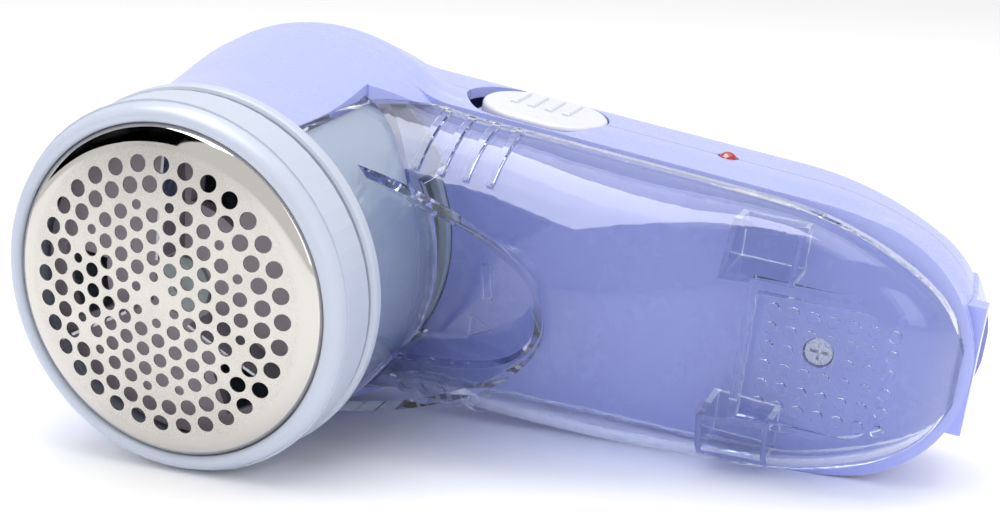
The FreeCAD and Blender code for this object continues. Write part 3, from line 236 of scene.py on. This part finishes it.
def clear_plastic(name, tint, roughness=0.015, index=1.47):
    """Polished clear plastic that lets light through to what lies behind it."""
    material, tree, shader = start(name)
    shader.inputs["Base Color"].default_value = tint
    shader.inputs["Transmission Weight"].default_value = 1.0
    shader.inputs["IOR"].default_value = index
    haze = ramp(tree, noise(tree, 220.0, 4.0, 0.6), 0.45, 0.75, roughness, roughness * 3.0)
    feed(tree, shader.inputs["Roughness"], haze)
    bump(tree, shader, noise(tree, 70.0, 1.0), 0.05 * MM)
    path = add(tree, "LightPath")
    trapped = maths(tree, "GREATER_THAN", path.outputs["Ray Depth"], TRAPPED_DEPTH)
    plain = maths(tree, "MAXIMUM", path.outputs["Is Shadow Ray"], trapped)
    through = add(tree, "BsdfTransparent", {"Color": scaled(tint, 0.85)})
    both = add(tree, "MixShader", {0: plain, 1: shader.outputs[0], 2: through.outputs[0]})
    output = next(made for made in tree.nodes if made.type == "OUTPUT_MATERIAL")
    tree.links.new(both.outputs[0], output.inputs["Surface"])
    return material


LILAC = srgb(170, 178, 238)
MATERIALS = {
    "lilac_shell": moulded("lilac_shell", LILAC, 0.26, 0.01, soft=0.12, coat=0.25, seam=SEAM_Y),
    "pale_plastic": moulded("pale_plastic", srgb(192, 199, 215), 0.34, 0.012, soft=0.15),
    "grey_plastic": moulded("grey_plastic", srgb(192, 202, 204), 0.42, 0.02),
    "white_plastic": moulded("white_plastic", srgb(216, 218, 226), 0.3, 0.012, soft=0.1),
    "black_plastic": moulded("black_plastic", srgb(46, 47, 52), 0.45, 0.025),
    "board_green": moulded("board_green", srgb(48, 118, 76), 0.35, 0.01, coat=0.3),
    "red_lens": moulded("red_lens", srgb(168, 22, 34), 0.12, 0.004, coat=0.6),
    "cell_sleeve": moulded("cell_sleeve", srgb(70, 140, 112), 0.25, 0.01, coat=0.3),
    "wire_sleeve": moulded("wire_sleeve", srgb(178, 40, 40), 0.4, 0.012),
    "capacitor_case": moulded("capacitor_case", srgb(196, 112, 48), 0.25, 0.01, coat=0.4),
    "carbon": moulded("carbon", srgb(52, 52, 54), 0.6, 0.05),
    "felt": moulded("felt", srgb(120, 120, 122), 0.95, 0.25),
    "ferrite": moulded("ferrite", srgb(70, 70, 74), 0.6, 0.05),
    "clear_plastic": clear_plastic("clear_plastic", srgb(224, 228, 241)),
    "foil_steel": foil_metal(),
    "blade_steel": metal("blade_steel", srgb(168, 170, 174), 0.3, (1.0, 6.0, 1.0)),
    "zinc_steel": metal("zinc_steel", srgb(198, 201, 206), 0.28),
    "spring_steel": metal("spring_steel", srgb(190, 190, 188), 0.22, (1.0, 1.0, 8.0)),
    "tinned": metal("tinned", srgb(214, 215, 216), 0.25),
    "copper": metal("copper", srgb(206, 128, 74), 0.28, (1.0, 12.0, 1.0)),
    "bronze": metal("bronze", srgb(188, 150, 96), 0.4, scale=2500.0, depth=0.01),
}
WHEEL_GREY = moulded("wheel_grey", srgb(184, 176, 186), 0.5, 0.02)
SLOT_OF = {part["node"]: part["material_slot"] for part in RECORD["subparts"]}


def finish_node(name):
    """Gives a CAD node its material."""
    mesh = NODES[name].data
    mesh.materials.clear()
    mesh.materials.append(WHEEL_GREY if name == "blade_carrier" else MATERIALS[SLOT_OF[name]])
    for face in mesh.polygons:
        face.material_index = 0


for node_name in NODES:
    finish_node(node_name)


def link(name, mesh):
    """New object in the scene for a mesh or a lamp."""
    obj = bpy.data.objects.new(name, mesh)
    bpy.context.scene.collection.objects.link(obj)
    return obj


# ---------------------------------------------------------------- marks on the clear bin

MARK_WIDTH = 0.3
MARK_PROUD = 0.3
MARK_SUNK = 0.03           # the marks reach this far into the floor that carries them
MARK_BEVEL = 0.3           # how far a bar's crown draws in, as a share of its width
SCOOP_FLOOR_Y = 41.0

# corners of the marks as x and z in the shaver's own directions
BAR_CORNERS = ((42.5, 4.5), (44.0, 4.8), (44.9, -1.7), (43.4, -2.0))
ARROW_CORNERS = ((41.2, -5.7), (45.3, -7.6), (41.4, -9.9))

# faces of one bar over its four foot points and four crown points
BAR_FACES = [(k + 4, (k + 1) % 4 + 4, (k + 1) % 4, k) for k in range(4)]
BAR_FACES += [(0, 1, 2, 3), (7, 6, 5, 4)]


def ridge_outline(name, corners):
    """Low raised outline on the scoop's floor, a bevelled bar along each side."""
    points, faces = [], []
    for first, second in zip(corners, corners[1:] + corners[:1]):
        first, second = Vector(first), Vector(second)
        reach = (second - first).normalized() * MARK_WIDTH / 2
        half = Vector((-reach.y, reach.x))
        start_point, end_point = first - reach, second + reach
        foot = [start_point - half, start_point + half, end_point + half, end_point - half]
        middle = (start_point + end_point) / 2
        draw = MARK_WIDTH * MARK_BEVEL
        crown = [point + (middle - point).normalized() * draw for point in foot]
        base = len(points)
        points += [place(x, SCOOP_FLOOR_Y + MARK_SUNK, z) for x, z in foot]
        points += [place(x, SCOOP_FLOOR_Y - MARK_PROUD, z) for x, z in crown]
        faces += [tuple(base + k for k in face) for face in BAR_FACES]
    mesh = bpy.data.meshes.new(name)
    mesh.from_pydata(points, [], faces)
    mesh.materials.append(MATERIALS["clear_plastic"])
    obj = link(name, mesh)
    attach(obj, "bin")


ridge_outline("bin_bar_mark", BAR_CORNERS)
ridge_outline("bin_arrow_mark", ARROW_CORNERS)

# ---------------------------------------------------------------- floor, light and camera

FLOOR_Z = cad_box[0].z
FLOOR_HALF = 6.0
HEAD_MIDDLE = place(20, 30, 0)
LAMP_TARGET = place(40, 40, 0)
WHITE = (1.0, 1.0, 1.0, 1.0)
BLACK = (0.0, 0.0, 0.0, 1.0)
BOUNCES = 32               # enough for light that runs along the bin's walls


def sheet(name, centre, half_u, half_v, direction):
    """Flat card round a centre, facing along a direction."""
    corners = [(-half_u, -half_v, 0), (half_u, -half_v, 0),
               (half_u, half_v, 0), (-half_u, half_v, 0)]
    mesh = bpy.data.meshes.new(name)
    mesh.from_pydata(corners, [], [(0, 1, 2, 3)])
    obj = link(name, mesh)
    obj.rotation_mode = "QUATERNION"
    obj.rotation_quaternion = Vector(direction).to_track_quat("Z", "Y")
    obj.location = centre
    return obj


floor = sheet("floor", (0.0, 0.0, FLOOR_Z), FLOOR_HALF, FLOOR_HALF, (0, 0, 1))
floor.data.materials.append(moulded("floor_paper", srgb(253, 253, 254), 0.8, 0.01, dark=0.995))


def card(name, centre, half_u, half_v, colour, strength):
    """Card that only reflections see, turned towards the head."""
    obj = sheet(name, centre, half_u, half_v, HEAD_MIDDLE - Vector(centre))
    material = bpy.data.materials.new(name)
    material.use_nodes = True
    tree = material.node_tree
    tree.nodes.clear()
    glow = tree.nodes.new("ShaderNodeEmission")
    glow.inputs["Color"].default_value = colour
    glow.inputs["Strength"].default_value = strength
    output = tree.nodes.new("ShaderNodeOutputMaterial")
    tree.links.new(glow.outputs[0], output.inputs["Surface"])
    obj.data.materials.append(material)
    obj.visible_camera = False
    obj.visible_diffuse = False
    obj.visible_shadow = False
    obj.visible_transmission = False


def lamp(name, centre, size, power):
    """Soft rectangular light turned towards the shaver."""
    data = bpy.data.lights.new(name, "AREA")
    data.shape = "RECTANGLE"
    data.size, data.size_y = size
    data.energy = power
    obj = link(name, data)
    obj.location = centre
    obj.rotation_mode = "QUATERNION"
    obj.rotation_quaternion = (LAMP_TARGET - Vector(centre)).to_track_quat("-Z", "Y")


# centre and size of each lamp in metres, power in watts
lamp("top_light", (0.05, 0.1, 0.75), (0.9, 0.7), 3.6)
lamp("left_light", (-0.75, -0.35, 0.45), (0.5, 0.5), 1.1)
lamp("right_light", (0.8, -0.3, 0.35), (0.4, 0.6), 1.1)
# a white card shines in the bin and shell, a black one darkens the foil's rim
card("top_card", (-0.12, -0.12, 0.75), 0.35, 0.3, WHITE, 8.0)
card("left_flag", (-0.28, -0.2, 0.22), 0.22, 0.2, BLACK, 0.0)

world = bpy.data.worlds.new("studio")
world.use_nodes = True
sky = world.node_tree.nodes["Background"]
sky.inputs["Color"].default_value = WHITE
sky.inputs["Strength"].default_value = 0.85
scene = bpy.context.scene
scene.world = world
scene.view_settings.view_transform = "Standard"
scene.cycles.max_bounces = BOUNCES
scene.cycles.glossy_bounces = BOUNCES
scene.cycles.transmission_bounces = BOUNCES

# camera place, directions across and down the picture, all in the shaver's own directions
CAMERA_PLACE = (147.8, -240.9, 113.6)
CAMERA_RIGHT = (0.9204, 0.3752, 0.1097)
CAMERA_DOWN = (0.2241, -0.2764, -0.9345)
CAMERA_LENS = 63.93
SENSOR_WIDTH = 36.0

right = place(*CAMERA_RIGHT).normalized()
up = -place(*CAMERA_DOWN).normalized()
back = right.cross(up)
camera_data = bpy.data.cameras.new("camera")
camera_data.lens = CAMERA_LENS
camera_data.sensor_width = SENSOR_WIDTH
camera_data.clip_start = 0.01
camera = link("camera", camera_data)
turn = Matrix((right, up, back)).transposed().to_4x4()
camera.matrix_world = Matrix.Translation(place(*CAMERA_PLACE)) @ turn
scene.camera = camera
